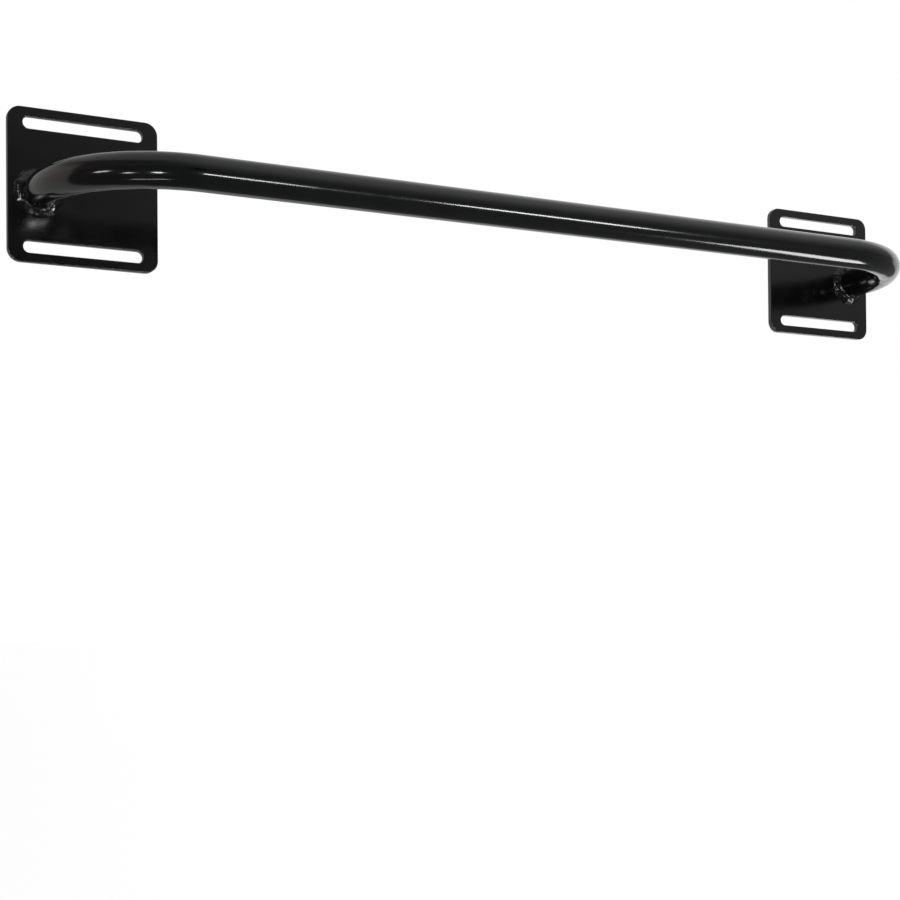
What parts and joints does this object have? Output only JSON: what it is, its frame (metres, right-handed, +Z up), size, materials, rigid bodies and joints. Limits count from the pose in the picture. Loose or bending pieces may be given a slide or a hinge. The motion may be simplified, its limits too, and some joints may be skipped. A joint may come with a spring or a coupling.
{
  "type": "pull up bar",
  "caption": "Wall-mounted pull up bar: a straight round tube with both ends bent back to square plates with long level slots, screwed flat above a doorway.",
  "frame": {"origin": "on the wall plane, midway between the two plates and at the middle of their four-slot pattern", "axes": "+X along the bar, +Y into the wall so that the bar stands out towards -Y, +Z up"},
  "size_m": [1, 0.1508, 0.14],
  "materials": {
    "black_coat_tube": "gloss black powder coat on steel tube",
    "black_coat_plate": "satin black powder coat on steel plate",
    "black_coat_weld": "gloss black powder coat over rippled weld metal"
  },
  "bodies": {
    "root": {"bar_tube": "black_coat_tube", "left_wall_plate": "black_coat_plate", "left_weld_bead": "black_coat_weld", "right_wall_plate": "black_coat_plate", "right_weld_bead": "black_coat_weld"}
  },
  "joints": []
}
